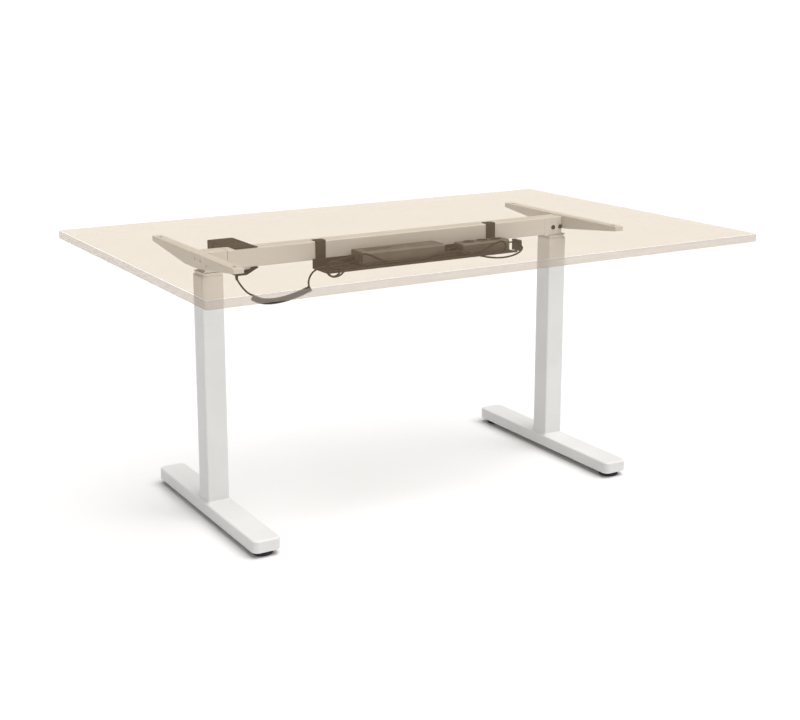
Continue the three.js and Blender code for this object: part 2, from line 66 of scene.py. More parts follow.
def local_box(node):
    """A CAD node's lowest and highest corners, in frame-local millimetres."""
    low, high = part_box(node)
    return (low - ORIGIN) / MM, (high - ORIGIN) / MM


# ---- driving dimensions, in millimetres ----
COLUMN_X = 550.0
BEND = 2.0             # outside radius of a fold in sheet metal
HEAD_INNER = 505.0     # the head's face on the crossbeam side, from the middle of the desk
HEAD_OUTER = 568.7     # the head's face on the arm side
BOLT_PLACES = (536.0, 561.0)
BOLT_Z = 684.0
STRAP_SCREW_Z = 677.0
SOCKET_PLACES = (215.0, 260.0, 305.0)   # along the power strip
ARM_INNER = 569.0      # the support arm's two walls, from the middle of the desk
ARM_OUTER = 597.0
ARM_SHALLOW = 704.0    # lower edge of the arm at its tips
ARM_FLAT = 40.0        # half length of the arm's deepest stretch
COIL_WIRE = 5.0        # thickness of the curly lead's own wire
COIL_RADIUS = 6.0      # from the middle of the coil to the middle of its wire
COIL_PITCH = 6.2       # from one turn of the coil to the next
COIL_STEPS = 18        # points in each turn
FLEX = 5.0             # thickness of the mains lead and of the control box's lead
LOOP_X, LOOP_Y, LOOP_Z = -252.0, -122.0, 657.0   # start of the round loop in the mains lead
LOOP_RADIUS = 20.0
LOOP_PITCH = 6.6
LOOP_TURNS = 1.5
FOLD_RADIUS = 15.3     # where the mains lead turns back on itself


# ---- camera ----
def make_camera():
    data = bpy.data.cameras.new("camera")
    data.sensor_width = 36
    data.lens = 60.26
    data.shift_y = -0.10
    data.clip_end = 4000
    camera = bpy.data.objects.new("camera", data)
    camera.location = (-1.815, -2.994, 1.340)
    camera.rotation_euler = (math.pi / 2 - 0.206, 0, -0.541)
    bpy.context.scene.collection.objects.link(camera)
    bpy.context.scene.camera = camera


make_camera()


# ---- materials ----
def new_material(name):
    material = bpy.data.materials.new(name)
    material.use_nodes = True
    material.node_tree.nodes.clear()
    return material


def add_node(material, kind, **inputs):
    node = material.node_tree.nodes.new(kind)
    for key, value in inputs.items():
        node.inputs[key.replace("_", " ")].default_value = value
    return node


def noise(material, scale, stretch=(1, 1, 1), detail=3.0):
    """A noise field in object metres, stretched along the axes by the given factors."""
    links = material.node_tree.links
    place = add_node(material, "ShaderNodeTexCoord")
    mapping = add_node(material, "ShaderNodeMapping")
    mapping.inputs["Scale"].default_value = stretch
    field = add_node(material, "ShaderNodeTexNoise", Scale=scale, Detail=detail)
    links.new(place.outputs["Object"], mapping.inputs["Vector"])
    links.new(mapping.outputs["Vector"], field.inputs["Vector"])
    return field.outputs["Fac"]


def blend_colours(material, factor, first, second, low=0.35, high=0.65):
    """A colour ramp from first to second over the middle of a noise field."""
    ramp = add_node(material, "ShaderNodeValToRGB")
    ramp.color_ramp.elements[0].position = low
    ramp.color_ramp.elements[0].color = (*first, 1)
    ramp.color_ramp.elements[1].position = high
    ramp.color_ramp.elements[1].color = (*second, 1)
    material.node_tree.links.new(factor, ramp.inputs["Fac"])
    return ramp.outputs["Color"]


def spread(material, factor, low, high):
    """A noise field moved into a range of values."""
    node = add_node(material, "ShaderNodeMapRange")
    node.inputs["From Min"].default_value = 0.3
    node.inputs["From Max"].default_value = 0.7
    node.inputs["To Min"].default_value = low
    node.inputs["To Max"].default_value = high
    material.node_tree.links.new(factor, node.inputs["Value"])
    return node.outputs["Result"]


def finish(name, colours, grain, roughness, bump, metallic=0.0, stretch=(1, 1, 1), specular=0.5):
    """A surface with slow colour change, fine grain in its roughness, and fine bumps.

    grain is (colour scale, roughness scale, bump scale) per metre; bump is the bumps' height in metres."""
    material = new_material(name)
    links = material.node_tree.links
    shader = add_node(material, "ShaderNodeBsdfPrincipled")
    shader.inputs["Metallic"].default_value = metallic
    shader.inputs["Specular IOR Level"].default_value = specular
    colour = blend_colours(material, noise(material, grain[0], stretch), *colours)
    links.new(colour, shader.inputs["Base Color"])
    gloss = spread(material, noise(material, grain[1], stretch), *roughness)
    links.new(gloss, shader.inputs["Roughness"])
    bumps = add_node(material, "ShaderNodeBump", Strength=1.0, Distance=bump)
    links.new(noise(material, grain[2], stretch), bumps.inputs["Height"])
    links.new(bumps.outputs["Normal"], shader.inputs["Normal"])
    output = add_node(material, "ShaderNodeOutputMaterial")
    links.new(shader.outputs["BSDF"], output.inputs["Surface"])
    return material


def see_through_wood(name, light, dark, veil, tint):
    """Pale wood drawn see-through: veil is the share of the light that the wood face itself sends back.

    Only faces that look outward show and tint; seen from behind, through the board, they are clear."""
    material = new_material(name)
    links = material.node_tree.links
    shader = add_node(material, "ShaderNodeBsdfPrincipled", Roughness=0.55)
    shader.inputs["Specular IOR Level"].default_value = 0.25
    fibres = noise(material, 9, (0.5, 14, 14), 5.0)
    rings = noise(material, 2.2, (0.25, 4.5, 4.5), 2.0)
    grain = add_node(material, "ShaderNodeMath")
    grain.operation = "ADD"
    links.new(fibres, grain.inputs[0])
    links.new(rings, grain.inputs[1])
    colour = blend_colours(material, grain.outputs["Value"], light, dark, 0.75, 1.25)
    links.new(colour, shader.inputs["Base Color"])
    bumps = add_node(material, "ShaderNodeBump", Strength=0.4, Distance=0.0002)
    links.new(fibres, bumps.inputs["Height"])
    links.new(bumps.outputs["Normal"], shader.inputs["Normal"])
    faces = add_node(material, "ShaderNodeNewGeometry")
    share = add_node(material, "ShaderNodeMapRange")
    share.inputs["To Min"].default_value = veil
    share.inputs["To Max"].default_value = 0.0
    links.new(faces.outputs["Backfacing"], share.inputs["Value"])
    clear = add_node(material, "ShaderNodeBsdfTransparent")
    dye = add_node(material, "ShaderNodeMixRGB", Color1=(*tint, 1), Color2=(1, 1, 1, 1))
    links.new(faces.outputs["Backfacing"], dye.inputs["Fac"])
    links.new(dye.outputs["Color"], clear.inputs["Color"])
    mix = add_node(material, "ShaderNodeMixShader")
    links.new(share.outputs["Result"], mix.inputs["Fac"])
    links.new(clear.outputs["BSDF"], mix.inputs[1])
    links.new(shader.outputs["BSDF"], mix.inputs[2])
    output = add_node(material, "ShaderNodeOutputMaterial")
    links.new(mix.outputs["Shader"], output.inputs["Surface"])
    return material


def clear_material(name):
    """For faces that two see-through pieces share, so that the joint between them does not show."""
    material = new_material(name)
    clear = add_node(material, "ShaderNodeBsdfTransparent")
    output = add_node(material, "ShaderNodeOutputMaterial")
    material.node_tree.links.new(clear.outputs["BSDF"], output.inputs["Surface"])
    return material


PAINT = finish("light_grey_powder_coat", ((0.65, 0.648, 0.638), (0.69, 0.688, 0.678)), (6, 140, 900),
               (0.42, 0.55), 0.00006)
DARK_SHEET = finish("dark_powder_coat", ((0.018, 0.014, 0.011), (0.026, 0.022, 0.017)), (25, 200, 1100),
                    (0.5, 0.68), 0.00008)
STEEL = finish("machined_steel", ((0.5, 0.51, 0.52), (0.6, 0.61, 0.62)), (60, 300, 1500),
               (0.25, 0.42), 0.00004, metallic=1.0, stretch=(1, 1, 6))
BRASS = finish("cut_brass", ((0.62, 0.44, 0.17), (0.7, 0.52, 0.22)), (60, 300, 1500),
               (0.28, 0.45), 0.00004, metallic=1.0)
BLACK_PLASTIC = finish("matt_black_plastic", ((0.010, 0.0095, 0.009), (0.016, 0.015, 0.014)),
                       (40, 300, 1600), (0.45, 0.65), 0.00005)
BOX_PLASTIC = finish("dark_grey_plastic", ((0.105, 0.094, 0.080), (0.128, 0.116, 0.100)), (18, 260, 1400),
                     (0.42, 0.6), 0.00007)
SLIDE_PLASTIC = finish("white_slide_plastic", ((0.62, 0.61, 0.58), (0.68, 0.67, 0.64)), (30, 200, 1200),
                       (0.35, 0.5), 0.00004)
RUBBER = finish("black_cable_rubber", ((0.016, 0.013, 0.011), (0.026, 0.022, 0.018)), (30, 260, 1500),
                (0.42, 0.6), 0.00005, specular=0.22)
# Painted shade for openings: a near-black colour that stands in for the shade inside the control box's vent
# slots and the power strip's socket wells. These are drawn as flat dark pieces, not cut.
PAINTED_HOLE_SHADE = finish("painted_hole_shade", ((0.004, 0.004, 0.004), (0.007, 0.006, 0.006)), (90, 400, 1500),
                    (0.6, 0.8), 0.00003)
WOOD = see_through_wood("see_through_wood", (0.62, 0.44, 0.28), (0.55, 0.38, 0.23), 0.11,
                        (0.825, 0.766, 0.68))
EDGE_WOOD = see_through_wood("see_through_edge", (0.56, 0.49, 0.42), (0.52, 0.45, 0.38), 0.34,
                             (0.76, 0.70, 0.64))
CLEAR = clear_material("clear_joint")

SLOT_MATERIALS = {
    "frame_paint": PAINT, "dark_sheet": DARK_SHEET, "steel": STEEL, "brass": BRASS,
    "black_plastic": BLACK_PLASTIC, "box_plastic": BOX_PLASTIC, "slide_plastic": SLIDE_PLASTIC,
    "cable_rubber": RUBBER, "tabletop_wood": WOOD, "edge_wood": EDGE_WOOD,
}

for part in frame["record"]["subparts"]:
    data = nodes[part["node"]].data
    data.materials.clear()
    data.materials.append(SLOT_MATERIALS[part["material_slot"]])


# ---- mesh helpers ----
def add_piece(name, mesh, body, slot, stands_for=(), material=None):
    """Puts a finished mesh in the scene as a piece that rides on a body."""
    mesh.materials.append(material or SLOT_MATERIALS[slot])
    piece = bpy.data.objects.new(name, mesh)
    bpy.context.scene.collection.objects.link(piece)
    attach(piece, body)
    if stands_for:
        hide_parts(*stands_for)
    return piece


def to_mesh(name, shape, smooth_angle=30, outward=True):
    """Turns a bmesh into a mesh with soft shading that stops at sharp corners.

    outward turns every face to the outside; leave it off where the shape has a hollow inside."""
    if outward:
        bmesh.ops.recalc_face_normals(shape, faces=shape.faces)
    mesh = bpy.data.meshes.new(name)
    shape.to_mesh(mesh)
    shape.free()
    mesh.polygons.foreach_set("use_smooth", [True] * len(mesh.polygons))
    mesh.set_sharp_from_angle(angle=math.radians(smooth_angle))
    return mesh


def even_normals(piece):
    """Keeps big flat faces flat in shading where small rounded edges meet them."""
    modifier = piece.modifiers.new("even_normals", "WEIGHTED_NORMAL")
    modifier.keep_sharp = True
    return piece


def skin(shape, loops, joined=False, capped=True):
    """Skins a shape over loops of equally many points; joined runs the last loop back to the first."""
    rings = [[shape.verts.new(point) for point in loop] for loop in loops]
    pairs = list(zip(rings, rings[1:]))
    if joined:
        pairs.append((rings[-1], rings[0]))
    count = len(rings[0])
    for first, second in pairs:
        for i in range(count):
            after = (i + 1) % count
            shape.faces.new((first[i], first[after], second[after], second[i]))
    if capped and not joined:
        shape.faces.new(list(reversed(rings[0])))
        shape.faces.new(rings[-1])


def circle(radius, steps=32, turn=0.0):
    angles = [turn + 2 * math.pi * i / steps for i in range(steps)]
    return [(radius * math.cos(angle), radius * math.sin(angle)) for angle in angles]


def hexagon(radius, steps=24):
    """A hexagon sampled at as many points as the circles around it."""
    points = []
    for i in range(steps):
        angle = 2 * math.pi * i / steps
        folded = (angle % (math.pi / 3)) - math.pi / 6
        reach = radius * math.cos(math.pi / 6) / math.cos(folded)
        points.append((reach * math.cos(angle), reach * math.sin(angle)))
    return points


def rounded_rectangle(width, depth, radius, steps=6):
    points = []
    for quarter, (sx, sy) in enumerate(((1, 1), (-1, 1), (-1, -1), (1, -1))):
        centre_x = sx * (width / 2 - radius)
        centre_y = sy * (depth / 2 - radius)
        for i in range(steps + 1):
            angle = math.pi / 2 * (quarter + i / steps)
            points.append((centre_x + radius * math.cos(angle), centre_y + radius * math.sin(angle)))
    return points


def level(outline, z, centre):
    """A flat outline lifted to height z around a local centre, in scene metres."""
    return [at(centre[0] + x, centre[1] + y, z) for x, y in outline]


def along(axis, outline, distance, centre):
    """An outline standing across an axis ('x' or 'y'), at a distance along it."""
    if axis == "x":
        return [at(distance, centre[0] + u, centre[1] + v) for u, v in outline]
    return [at(centre[0] - u, distance, centre[1] + v) for u, v in outline]


def rounded_block(shape, low, high, radius=1.5, steps=3, inward=False):
    """A block with every edge rounded; inward turns its faces to the inside, for a hollow."""
    corners = [at(*[(low, high)[(i >> axis) & 1][axis] for axis in range(3)]) for i in range(8)]
    verts = [shape.verts.new(corner) for corner in corners]
    quads = ((0, 2, 3, 1), (4, 5, 7, 6), (0, 1, 5, 4), (2, 6, 7, 3), (0, 4, 6, 2), (1, 3, 7, 5))
    faces = [shape.faces.new([verts[i] for i in quad]) for quad in quads]
    edges = list({edge for face in faces for edge in face.edges})
    if radius:
        made = bmesh.ops.bevel(shape, geom=edges, offset=radius * MM, segments=steps, profile=0.5,
                               affect="EDGES", clamp_overlap=True)
        faces = list({face for vert in made["verts"] for face in vert.link_faces})
    if inward:
        bmesh.ops.reverse_faces(shape, faces=faces)


def sheet_piece(name, panels, thickness, body, slot, stands_for=(), holes=()):
    """Folded sheet metal: panels are flat polygons of local points, and the thickness goes inward.

    Each hole is (panel number, loop of local points) and is cut through that panel."""
    shape = bmesh.new()
    for index, panel in enumerate(panels):
        loops = [panel] + [loop for number, loop in holes if number == index]
        edges = []
        for loop in loops:
            verts = [shape.verts.new(at(*point)) for point in loop]
            edges += [shape.edges.new((verts[i - 1], verts[i])) for i in range(len(verts))]
        if len(loops) > 1:
            bmesh.ops.triangle_fill(shape, edges=edges, use_beauty=True)
        else:
            shape.faces.new(verts)
    bmesh.ops.remove_doubles(shape, verts=shape.verts, dist=0.00001)
    bmesh.ops.recalc_face_normals(shape, faces=shape.faces)
    folds = [e for e in shape.edges if len(e.link_faces) == 2 and e.calc_face_angle() > 0.3]
    if folds:
        bmesh.ops.bevel(shape, geom=folds, offset=BEND * MM, segments=3, profile=0.5, affect="EDGES")
    piece = add_piece(name, to_mesh(name, shape), body, slot, stands_for)
    solid = piece.modifiers.new("thickness", "SOLIDIFY")
    solid.thickness = thickness * MM
    solid.offset = -1
    solid.use_even_offset = True
    edge = piece.modifiers.new("edge", "BEVEL")
    edge.width = 0.3 * MM
    edge.segments = 2
    edge.limit_method = "ANGLE"
    edge.angle_limit = math.radians(50)
    return even_normals(piece)


def screw(name, place, direction, radius, height, body, slot, stands_for=(), material=None, socket=0.45):
    """A round screw head with a hexagon socket, its back at place and its face towards direction."""
    depth = height * 0.6
    outline = [
        (hexagon(radius * socket * 0.96), height - depth), (hexagon(radius * socket), height - 0.2),
        (circle(radius * (socket + 0.08), 24), height), (circle(radius * 0.8, 24), height),
        (circle(radius * 0.95, 24), height * 0.82), (circle(radius, 24), height * 0.5),
        (circle(radius, 24), 0.0),
    ]
    turn = Vector(direction).to_track_quat("Z", "X").to_matrix().to_4x4()
    seat = Matrix.Translation(at(*place)) @ turn
    shape = bmesh.new()
    skin(shape, [[seat @ (Vector((u, v, h)) * MM) for u, v in loop] for loop, h in outline])
    return even_normals(add_piece(name, to_mesh(name, shape, 30), body, slot, stands_for, material))


# ---- cords ----
def smooth_route(points, spacing=3.0):
    """Points along a centripetal Catmull-Rom curve through the given ones."""
    points = [Vector(point) for point in points]
    ends = [2 * points[0] - points[1], *points, 2 * points[-1] - points[-2]]
    route = []
    for before, first, second, after in zip(ends, ends[1:], ends[2:], ends[3:]):
        gap_before = math.sqrt((first - before).length)
        gap = math.sqrt((second - first).length)
        gap_after = math.sqrt((after - second).length)
        start = (first - before) / gap_before - (second - before) / (gap_before + gap)
        start += (second - first) / gap
        stop = (second - first) / gap - (after - first) / (gap + gap_after) + (after - second) / gap_after
        start *= gap
        stop *= gap
        steps = max(1, round((second - first).length / spacing))
        for i in range(steps):
            t = i / steps
            route.append(
                first * (2 * t**3 - 3 * t**2 + 1) + second * (3 * t**2 - 2 * t**3)
                + start * (t**3 - 2 * t**2 + t) + stop * (t**3 - t**2)
            )
    route.append(points[-1])
    return route


def route_length(route):
    return sum((b - a).length for a, b in zip(route, route[1:]))


def cord_piece(name, route, diameter, body, stands_for):
    """A round cord along local route points."""
    data = bpy.data.curves.new(name, "CURVE")
    data.dimensions = "3D"
    data.bevel_depth = diameter / 2 * MM
    data.bevel_resolution = 4
    data.use_fill_caps = True
    spline = data.splines.new("POLY")
    spline.points.add(len(route) - 1)
    for point, place in zip(spline.points, route):
        point.co = (*at(*place), 1)
    data.materials.append(RUBBER)
    piece = bpy.data.objects.new(name, data)
    bpy.context.scene.collection.objects.link(piece)
    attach(piece, body)
    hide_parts(*stands_for)
    return piece


def boot(name, start, direction, thick, thin, length, body):
    """A tapered, ribbed strain relief around a cord where it leaves a housing."""
    turn = Vector(direction).to_track_quat("Z", "X").to_matrix().to_4x4()
    seat = Matrix.Translation(at(*start)) @ turn
    ribs = 5
    loops = [(thin / 2 + 0.1, 0.0), (thick / 2, 0.0)]
    for i in range(ribs):
        share = i / ribs
        radius = thick / 2 + (thin / 2 + 0.5 - thick / 2) * share
        height = length * share
        step = length / ribs
        loops.append((radius, height + step * 0.55))
        loops.append((radius - 0.5, height + step * 0.6))
        loops.append((radius - 0.5, height + step))
    loops += [(thin / 2 + 0.1, length)]
    shape = bmesh.new()
    rings = [[seat @ (Vector((u, v, h)) * MM) for u, v in circle(radius, 20)] for radius, h in loops]
    skin(shape, rings, joined=True)
    return add_piece(name, to_mesh(name, shape), body, "cable_rubber")


def coil_route(path, start_turn):
    """The wire of a close-wound coil around a path that lies in a plane across Y."""
    length = route_length(path)
    turns = math.floor(length / COIL_PITCH) + 0.75
    steps = round(turns * COIL_STEPS)
    lengths = [0.0]
    for a, b in zip(path, path[1:]):
        lengths.append(lengths[-1] + (b - a).length)
    side = Vector((0, -1, 0))
    points = []
    for i in range(steps + 1):
        reach = length * i / steps
        index = max(k for k in range(len(path) - 1) if lengths[k] <= reach + 1e-9)
        share = (reach - lengths[index]) / (lengths[index + 1] - lengths[index])
        centre = path[index].lerp(path[index + 1], min(share, 1.0))
        ahead = path[min(index + 2, len(path) - 1)] - path[max(index - 1, 0)]
        up = side.cross(ahead.normalized())
        angle = start_turn + 2 * math.pi * turns * i / steps
        points.append(centre + COIL_RADIUS * (math.cos(angle) * up + math.sin(angle) * side))
    return points


def make_motor_lead():
    """The curly lead from the motor to the control box, one cord from end to end."""
    upper = [
        (-478, -16, 644.6), (-478, -16.6, 640), (-476.6, -20.5, 631), (-470.5, -30, 617), (-463, -41, 605),
        (-456, -50, 598.5),
    ]
    path = smooth_route([
        (-455, -60, 592), (-432, -60, 580.5), (-402, -60, 575.5), (-363, -60, 577.5), (-322, -60, 586),
        (-287, -60, 597),
    ])
    coil = coil_route(path, 0.0)
    lower = [
        (-289, -55, 604), (-291, -57, 612), (-288, -58.5, 627), (-280, -60, 639), (-269, -61.6, 646.6),
        (-254, -62.8, 649.6), (-235, -63.5, 649.6), (-200, -64, 650.4), (-170, -64, 653.6),
        (-158, -64, 655),
        (-148.4, -64, 655),
    ]
    route = smooth_route([*upper, *coil, *lower])
    cord = cord_piece("motor_lead", route, COIL_WIRE, "top_frame",
                      ("motor_lead_upper", "motor_lead_coil", "motor_lead_lower"))
    boot("motor_lead_boot", (-478, -16, 645.4), (0, -0.12, -1), 9, COIL_WIRE, 14, "top_frame")
    boot("motor_lead_end", (-147.8, -64, 655), (-1, 0, 0), 9, COIL_WIRE, 14, "top_frame")


def round_loop():
    """From the loop's top, round to the left and out at its bottom, each turn in front of the last."""
    points = []
    count = round(16 * LOOP_TURNS)
    for i in range(count + 1):
        angle = math.pi / 2 + i / count * LOOP_TURNS * 2 * math.pi
        points.append((LOOP_X + LOOP_RADIUS * math.cos(angle), LOOP_Y - i / count * LOOP_TURNS * LOOP_PITCH,
                       LOOP_Z + LOOP_RADIUS * math.sin(angle)))
    return points


def fold(x, z, side, y_below, y_above):
    """Where the lead turns back on itself: from the bottom, round the outer side and out at the top."""
    points = []
    for i in range(7):
        angle = math.pi * i / 6
        points.append((x + side * FOLD_RADIUS * math.sin(angle), y_below + (y_above - y_below) * i / 6,
                       z - FOLD_RADIUS * math.cos(angle)))
    return points


def make_mains_lead():
    """The power strip's lead, folded up in front of the control box, with its plug at the right."""
    route = smooth_route([
        (177.6, -48, 660), (165, -48.6, 660), (151, -54, 659.5), (140, -66, 658.5), (132, -80, 657),
        (124.5, -92.5, 655.3), (111, -99.8, 653.6), (95, -102.6, 651.3), (80, -104, 649.1),
        (62, -104.6, 647.6),
        (40, -104.6, 647.4), (-60, -104.6, 647.4), (-150, -104.7, 647.4), (-172, -106, 649.5),
        (-190, -109.5, 655), (-208, -113.5, 662), (-228, -118.5, 671),
        *round_loop(),
        (-236, -131, 640), (-222, -126, 647), (-208, -120.5, 652.8), (-194, -115.5, 654.5),
        (-178, -112, 652.3),
        (-162, -110.5, 648.2), (-145, -110.2, 647.4), (0, -110.2, 647.4), (120, -110.2, 647.4),
        (230, -110.2, 647.4), (270, -110.2, 647.4),
        *fold(290, 662.7, 1, -110.2, -109.3),
        (270, -109, 673.5), (248, -108.6, 665), (225, -108.3, 657), (200, -108.2, 653.2),
        (175, -108.2, 652.4),
        (0, -108.2, 652.4), (-110, -108.2, 652.4), (-135, -108.2, 652.4),
        *fold(-150, 667.7, -1, -107.8, -103.2),
        (-134, -102.2, 679.5), (-112, -101.8, 669), (-90, -101.8, 659), (-70, -101.8, 654),
        (-48, -101.8, 652.5),
        (0, -101.8, 652.4), (20, -101.8, 652.4), (45, -101.8, 653.2), (70, -102.5, 656.5),
        (95, -104.5, 660.5),
        (120, -107.5, 663), (145, -111, 663), (170, -116, 659), (192, -120.2, 652), (215, -121, 645),
        (245, -121, 638), (275, -121, 634), (305, -121, 634), (332, -120, 638), (351, -115, 643),
        (365, -105.5, 647.5), (374, -94, 650.5), (378.4, -84, 652), (379, -78.4, 652),
    ])
    cord = cord_piece("mains_lead", route, FLEX, "top_frame", ("mains_lead",))
    plug = make_plug()
    boot("mains_lead_boot", (178.4, -48, 660), (-1, -0.1, 0), 11, FLEX, 22, "top_frame")


def make_plug():
    """The small plug at the right end of the tray, with its rim and cord entry."""
    low, high = local_box("mains_plug")
    shape = bmesh.new()
    rounded_block(shape, low + Vector((0.5, 0, 0.5)), high - Vector((0.5, 4, 0.5)), 2.5)
    rounded_block(shape, (low.x, high.y - 6, low.z), (high.x, high.y, high.z), 1.5)
    return even_normals(add_piece("mains_plug_body", to_mesh("mains_plug_body", shape), "top_frame",
                                  "black_plastic", ("mains_plug",)))


def make_box_lead():
    """The control box's lead, doubled back along the tray to the power strip."""
    route = smooth_route([
        (-148.4, -46, 664), (-168, -46, 664), (-195, -46.4, 661.5), (-215, -49, 659), (-232.7, -56.3, 656),
        (-240, -74, 653), (-232.7, -91.7, 650), (-215, -98.6, 648), (-180, -99, 647.4), (0, -99, 647.4),
        (60, -99, 647.4), (95, -99, 647.4), (113, -98.7, 647.4), (132, -93, 648), (148, -82, 650),
        (160, -73, 652), (169, -68.4, 653), (177.6, -67, 653),
    ])
    cord = cord_piece("box_lead", route, FLEX, "top_frame", ("box_lead",))
    boot("box_lead_boot", (-147.6, -46, 664), (-1, 0, 0), 11, FLEX, 22, "top_frame")


def make_socket_lead():
    """The short link from the power strip to the plug at the tray's right end."""
    route = smooth_route([(340.3, -60, 661), (350, -60, 661), (362, -60, 661.5), (371.7, -60, 661.5)], 1.5)
    cord = cord_piece("socket_lead", route, 4.5, "top_frame", ("socket_lead",))


make_motor_lead()
make_mains_lead()
make_box_lead()
make_socket_lead()


# ---- tabletop ----
def make_tabletop():
    low, high = local_box("tabletop")
    centre = ((low.x + high.x) / 2, (low.y + high.y) / 2)
    width, depth = high.x - low.x, high.y - low.y
    shape = bmesh.new()
    steps = ((low.z, 0.8), (low.z + 0.8, 0), (high.z - 0.8, 0), (high.z, 0.8))
    skin(shape, [level(rounded_rectangle(width - 2 * inset, depth - 2 * inset, 3 - inset), z, centre)
                 for z, inset in steps])
    board = add_piece("tabletop_board", to_mesh("tabletop_board", shape), "top_frame", "tabletop_wood",
                      ("tabletop",))
    board.data.materials.append(CLEAR)
    for face in board.data.polygons:
        face.material_index = 0 if abs(face.normal.z) > 0.5 else 1
    board.visible_shadow = False
    even_normals(board)
    low, high = local_box("edge_band")
    width, depth = high.x - low.x, high.y - low.y
    shape = bmesh.new()
    thickness = 1.9
    steps = ((low.z, thickness), (low.z, 1.0), (low.z + 1.0, 0), (high.z - 1.0, 0), (high.z, 1.0),
             (high.z, thickness))
    skin(shape, [level(rounded_rectangle(width - 2 * inset, depth - 2 * inset, 5 - inset), z, centre)
                 for z, inset in steps], joined=True)
    edge = add_piece("tabletop_edge", to_mesh("tabletop_edge", shape), "top_frame", "edge_wood",
                     ("edge_band",))
    edge.data.materials.append(CLEAR)
    middle = at(*centre, 0)
    for face in edge.data.polygons:
        outward = face.normal.dot(face.center - middle) > 0
        face.material_index = 0 if outward and abs(face.normal.z) < 0.7 else 1
    edge.visible_shadow = False
    even_normals(edge)


# ---- feet, glides and columns ----
def make_foot(side):
    """A pressed foot, open underneath, with a boss for each glide."""
    node = f"{side}_foot"
    low, high = local_box(node)
    centre = ((low.x + high.x) / 2, (low.y + high.y) / 2)
    width, depth = high.x - low.x, high.y - low.y

    def ring(inset, z, corner=16.0):
        return level(rounded_rectangle(width - 2 * inset, depth - 2 * inset, corner - inset, 8), z, centre)

    shape = bmesh.new()
    loops = [ring(6, high.z - 3), ring(6, low.z + 0.4), ring(5.2, low.z), ring(1.5, low.z),
             ring(0.4, low.z + 0.6),
             ring(0, low.z + 2)]
    rounding = 5.0
    for i in range(6):
        angle = math.pi / 2 * i / 5
        loops.append(ring(rounding * (1 - math.cos(angle)), high.z - rounding * (1 - math.sin(angle))))
    skin(shape, loops)
    for end in (low.y + 34, high.y - 34):
        wall = [(5.3, low.z), (11, low.z), (11, high.z - 2), (5.3, high.z - 2)]
        skin(shape, [level(circle(radius, 24), z, (centre[0], end)) for radius, z in wall], joined=True)
    even_normals(add_piece(f"{side}_foot_shell", to_mesh(f"{side}_foot_shell", shape), f"{side}_base",
                           "frame_paint", (node,)))


def make_glide(side, end):
    """A screw-in glide: ribbed grip, domed tread and stem, all one black plastic piece."""
    node = f"{side}_{end}_glide"
    low, high = local_box(node)
    centre = ((low.x + high.x) / 2, (low.y + high.y) / 2)
    steps = 96

    def ribbed(radius, depth):
        return [(x * (1 - depth / radius * (i % 4 < 2)), y * (1 - depth / radius * (i % 4 < 2)))
                for i, (x, y) in enumerate(circle(radius, steps))]

    rings = [(circle(22, steps), 0), (circle(25, steps), 0.6), (ribbed(26.6, 0.3), 2.2),
             (ribbed(27, 0.8), 3.2),
             (ribbed(27, 0.8), 7.6), (circle(25, steps), 9.4), (circle(23, steps), 10),
             (circle(9, steps), 10),
             (circle(8.6, steps), 13.4), (circle(5, steps), 13.6), (circle(5, steps), high.z - 0.8),
             (circle(4.2, steps), high.z)]
    shape = bmesh.new()
    skin(shape, [level(outline, z, centre) for outline, z in rings])
    add_piece(f"{node}_tread", to_mesh(f"{node}_tread", shape), node, "black_plastic", (node,))


def make_tube(node, name, body, corner, slot="frame_paint"):
    """A square tube with rounded corners and a small chamfer on its cut ends."""
    low, high = local_box(node)
    centre = ((low.x + high.x) / 2, (low.y + high.y) / 2)
    width = high.x - low.x
    wall = 1.8
    chamfer = 0.4

    def ring(inset, z):
        side = width - 2 * inset
        return level(rounded_rectangle(side, side, max(corner - inset, 0.6), 8), z, centre)

    shape = bmesh.new()
    skin(shape, [ring(chamfer, low.z), ring(0, low.z + chamfer), ring(0, high.z - chamfer),
                 ring(chamfer, high.z),
                 ring(wall - chamfer, high.z), ring(wall, high.z - chamfer), ring(wall, low.z + chamfer),
                 ring(wall - chamfer, low.z)], joined=True)
    even_normals(add_piece(name, to_mesh(name, shape), body, slot, (node,)))


def make_weld(side):
    """The weld bead round the foot of the column."""
    low, high = local_box(f"{side}_outer_tube")
    centre = ((low.x + high.x) / 2, (low.y + high.y) / 2)
    size = high.x - low.x
    rings = [(0.1, 46.1), (3.0, 46.1), (2.6, 46.9), (1.4, 48.2), (0.5, 49.6), (0.1, 50.2)]
    shape = bmesh.new()
    skin(shape, [level(rounded_rectangle(size + 2 * out, size + 2 * out, 4 + out, 8), z, centre)
                 for out, z in rings], joined=True)
    add_piece(f"{side}_column_weld", to_mesh(f"{side}_column_weld", shape), f"{side}_base", "frame_paint")


